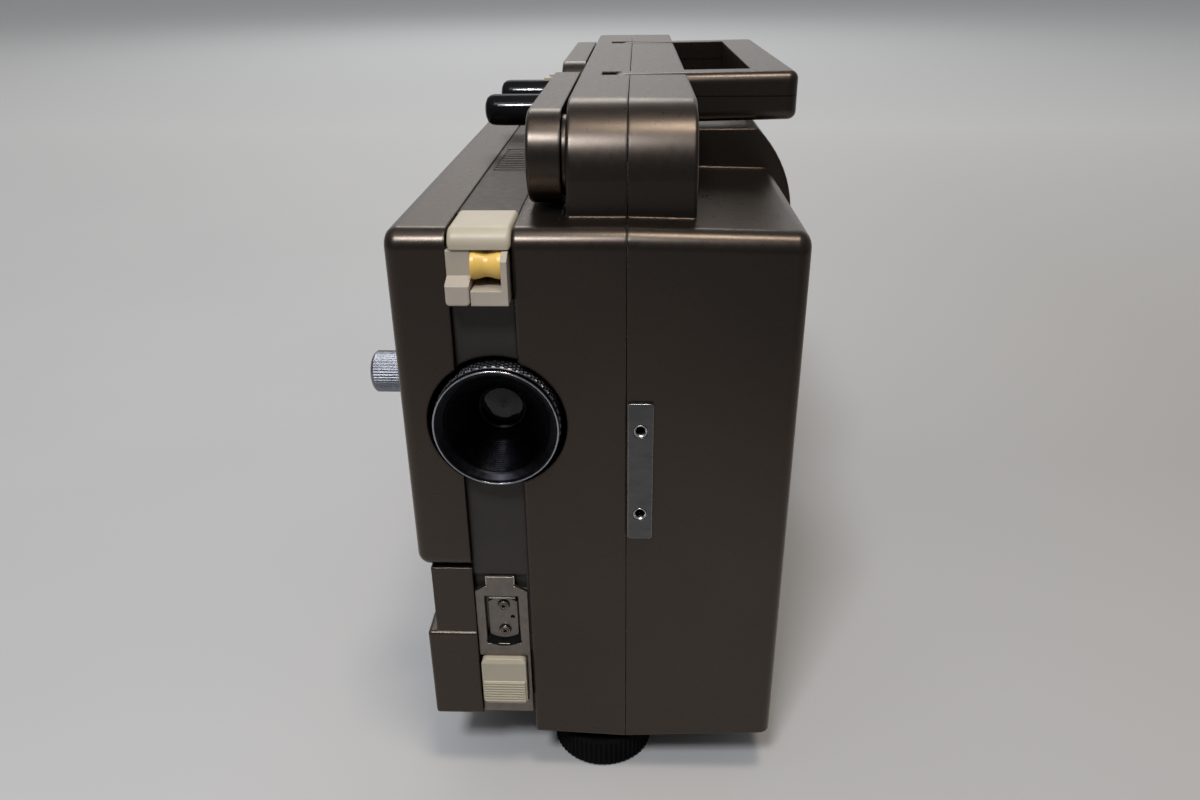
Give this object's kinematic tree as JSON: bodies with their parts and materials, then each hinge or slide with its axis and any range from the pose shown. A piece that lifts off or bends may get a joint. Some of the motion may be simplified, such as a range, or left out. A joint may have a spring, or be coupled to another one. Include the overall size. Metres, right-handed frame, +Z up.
{
  "type": "movie projector",
  "caption": "Upright sound movie projector with folding reel arms, side carry handle, zoom lens in a narrow film channel, screw-out front foot and rear connector panel.",
  "frame": {"origin": "on the table, under the middle of the object's bounding box", "axes": "+Y from the lens end to the back, +X to the right seen from the lens end, +Z up"},
  "size_m": [0.1552, 0.314, 0.2504],
  "materials": {
    "bronze_paint": "fine metallic bronze paint, satin",
    "bronze_frame": "cast tray painted metallic bronze",
    "cream_plastic": "cream plastic, satin",
    "yellow_plastic": "yellow nylon, satin",
    "black_plastic": "black plastic, satin",
    "black_rubber": "black rubber, matt",
    "black_anodised": "black anodised, semi-gloss",
    "chrome": "polished",
    "bright_steel": "zinc plated",
    "plain_steel": "plain",
    "plain_aluminium": "satin",
    "glass": "coated glass",
    "mirror": "reflector coating",
    "ceramic": "white ceramic, matt",
    "copper_wire": "enamelled winding",
    "green_board": "board with its components",
    "speaker_paper": "paper cone and steel basket"
  },
  "bodies": {
    "housing": {"right_shell": "bronze_paint", "left_shell": "bronze_paint", "screws": "bright_steel", "front_plate": "bright_steel", "rear_panel": "black_plastic", "output_sockets": "black_plastic", "power_inlet": "black_plastic", "mechanism_frame": "bronze_frame", "rear_side_cover": "bronze_paint", "operator_base": "bronze_paint", "inlet_cap": "cream_plastic", "guide_block": "cream_plastic", "roller_bracket": "cream_plastic", "roller_pin": "plain_steel", "cutter_plate": "bronze_frame", "cutter_block": "plain_steel", "button_spring": "plain_steel", "lens_holder": "black_anodised", "foot_bush": "plain_aluminium", "rear_feet": "black_rubber", "handle_pins": "plain_steel", "arm_studs": "bronze_paint", "chassis_plate": "plain_aluminium", "motor": "plain_steel", "drive_belt": "black_rubber", "lamp_reflector": "mirror", "lamp_bulb": "glass", "lamp_socket": "ceramic", "film_gate": "plain_steel", "pressure_plate": "plain_steel", "sound_head": "plain_steel", "transformer_core": "plain_steel", "transformer_winding": "copper_wire", "amplifier_board": "green_board", "speaker": "speaker_paper"},
    "film_door": {"film_door": "bronze_paint"},
    "guide_roller": {"guide_roller": "yellow_plastic"},
    "lens": {"lens_barrel": "black_anodised", "lens_glasses": "glass"},
    "zoom_ring": {"zoom_ring": "black_anodised"},
    "focus_knob": {"focus_knob": "chrome"},
    "push_button": {"push_button": "cream_plastic"},
    "foot_shaft": {"foot_shaft": "plain_steel"},
    "foot_wheel": {"foot_wheel": "black_plastic"},
    "handle": {"handle": "bronze_paint"},
    "front_arm": {"front_arm": "bronze_paint"},
    "front_spindle": {"front_spindle": "black_plastic"},
    "rear_arm": {"rear_arm": "bronze_paint"},
    "rear_spindle": {"rear_spindle": "black_plastic"},
    "control_knob": {"control_knob": "black_plastic"},
    "volume_knob": {"volume_knob": "black_plastic"},
    "tone_knob": {"tone_knob": "black_plastic"},
    "shutter": {"shutter": "black_anodised", "shutter_shaft": "plain_aluminium"},
    "motor_rotor": {"motor_rotor": "plain_steel", "cooling_fan": "black_plastic"},
    "upper_sprocket": {"upper_sprocket": "black_plastic"},
    "lower_sprocket": {"lower_sprocket": "black_plastic"},
    "capstan": {"capstan": "plain_steel"}
  },
  "joints": [
    {"name": "front_arm_fold", "type": "hinge", "parent": "housing", "child": "front_arm", "pos_m": [-0.01225, -0.1185, 0.2322], "axis": [1, 0, 0], "range_deg": [0, 135]},
    {"name": "rear_arm_fold", "type": "hinge", "parent": "housing", "child": "rear_arm", "pos_m": [-0.01225, 0.141, 0.2322], "axis": [-1, 0, 0], "range_deg": [0, 135]},
    {"name": "front_spindle_spin", "type": "hinge", "parent": "front_arm", "child": "front_spindle", "pos_m": [-0.0176, -0.017, 0.2322], "axis": [1, 0, 0], "continuous": true},
    {"name": "rear_spindle_spin", "type": "hinge", "parent": "rear_arm", "child": "rear_spindle", "pos_m": [-0.0176, 0.034, 0.2322], "axis": [1, 0, 0], "continuous": true},
    {"name": "handle_fold", "type": "hinge", "parent": "housing", "child": "handle", "pos_m": [0.0129, 0.0285, 0.24025], "axis": [0, -1, 0], "range_deg": [0, 88]},
    {"name": "focus_turn", "type": "hinge", "parent": "housing", "child": "focus_knob", "pos_m": [-0.0616, -0.115, 0.155], "axis": [1, 0, 0], "range_deg": [-75, 75]},
    {"name": "lens_focus", "type": "slide", "parent": "housing", "child": "lens", "axis": [0, -1, 0], "range_m": [-0.004, 0.004]},
    {"name": "zoom_turn", "type": "hinge", "parent": "lens", "child": "zoom_ring", "pos_m": [-0.0281, -0.147, 0.1525], "axis": [0, -1, 0], "range_deg": [-30, 30]},
    {"name": "guide_roller_spin", "type": "hinge", "parent": "housing", "child": "guide_roller", "pos_m": [-0.0281, -0.15, 0.2058], "axis": [1, 0, 0], "continuous": true},
    {"name": "button_press", "type": "slide", "parent": "housing", "child": "push_button", "axis": [0, 1, 0], "range_m": [0, 0.003], "stiffness_N_per_m": 300, "springref_m": -0.003, "deforming": ["button_spring"]},
    {"name": "foot_extend", "type": "slide", "parent": "housing", "child": "foot_shaft", "axis": [0, 0, -1], "range_m": [0, 0.012]},
    {"name": "foot_turn", "type": "hinge", "parent": "foot_shaft", "child": "foot_wheel", "pos_m": [0.0045, -0.131, 0.006], "axis": [0, 0, -1], "range_deg": [0, 1440]},
    {"name": "film_door_slide", "type": "slide", "parent": "housing", "child": "film_door", "axis": [-1, 0, 0], "range_m": [0, 0.04]},
    {"name": "control_knob_turn", "type": "hinge", "parent": "housing", "child": "control_knob", "pos_m": [-0.0586, -0.078, 0.0475], "axis": [-1, 0, 0], "range_deg": [-60, 60]},
    {"name": "volume_knob_turn", "type": "hinge", "parent": "housing", "child": "volume_knob", "pos_m": [-0.0586, -0.022, 0.0475], "axis": [-1, 0, 0], "range_deg": [0, 270]},
    {"name": "tone_knob_turn", "type": "hinge", "parent": "housing", "child": "tone_knob", "pos_m": [-0.0586, 0.008, 0.0475], "axis": [-1, 0, 0], "range_deg": [0, 270]},
    {"name": "shutter_spin", "type": "hinge", "parent": "housing", "child": "shutter", "pos_m": [-0.0109, -0.072, 0.1525], "axis": [0, 1, 0], "continuous": true},
    {"name": "motor_spin", "type": "hinge", "parent": "housing", "child": "motor_rotor", "pos_m": [0.0419, -0.052, 0.07], "axis": [0, 1, 0], "continuous": true},
    {"name": "upper_sprocket_spin", "type": "hinge", "parent": "housing", "child": "upper_sprocket", "pos_m": [-0.0261, -0.112, 0.1905], "axis": [1, 0, 0], "continuous": true},
    {"name": "lower_sprocket_spin", "type": "hinge", "parent": "housing", "child": "lower_sprocket", "pos_m": [-0.0261, -0.102, 0.1105], "axis": [1, 0, 0], "continuous": true},
    {"name": "capstan_spin", "type": "hinge", "parent": "housing", "child": "capstan", "pos_m": [-0.0161, 0.018, 0.1185], "axis": [1, 0, 0], "continuous": true}
  ],
  "couplings": [
    {"joint": "lens_focus", "follows": "focus_turn", "m_per_rad": 0.003},
    {"joint": "foot_extend", "follows": "foot_turn", "m_per_rad": 0.00047746},
    {"joint": "motor_spin", "follows": "shutter_spin", "ratio": 2.1852},
    {"joint": "upper_sprocket_spin", "follows": "shutter_spin", "ratio": 0.055556},
    {"joint": "lower_sprocket_spin", "follows": "shutter_spin", "ratio": 0.055556}
  ]
}
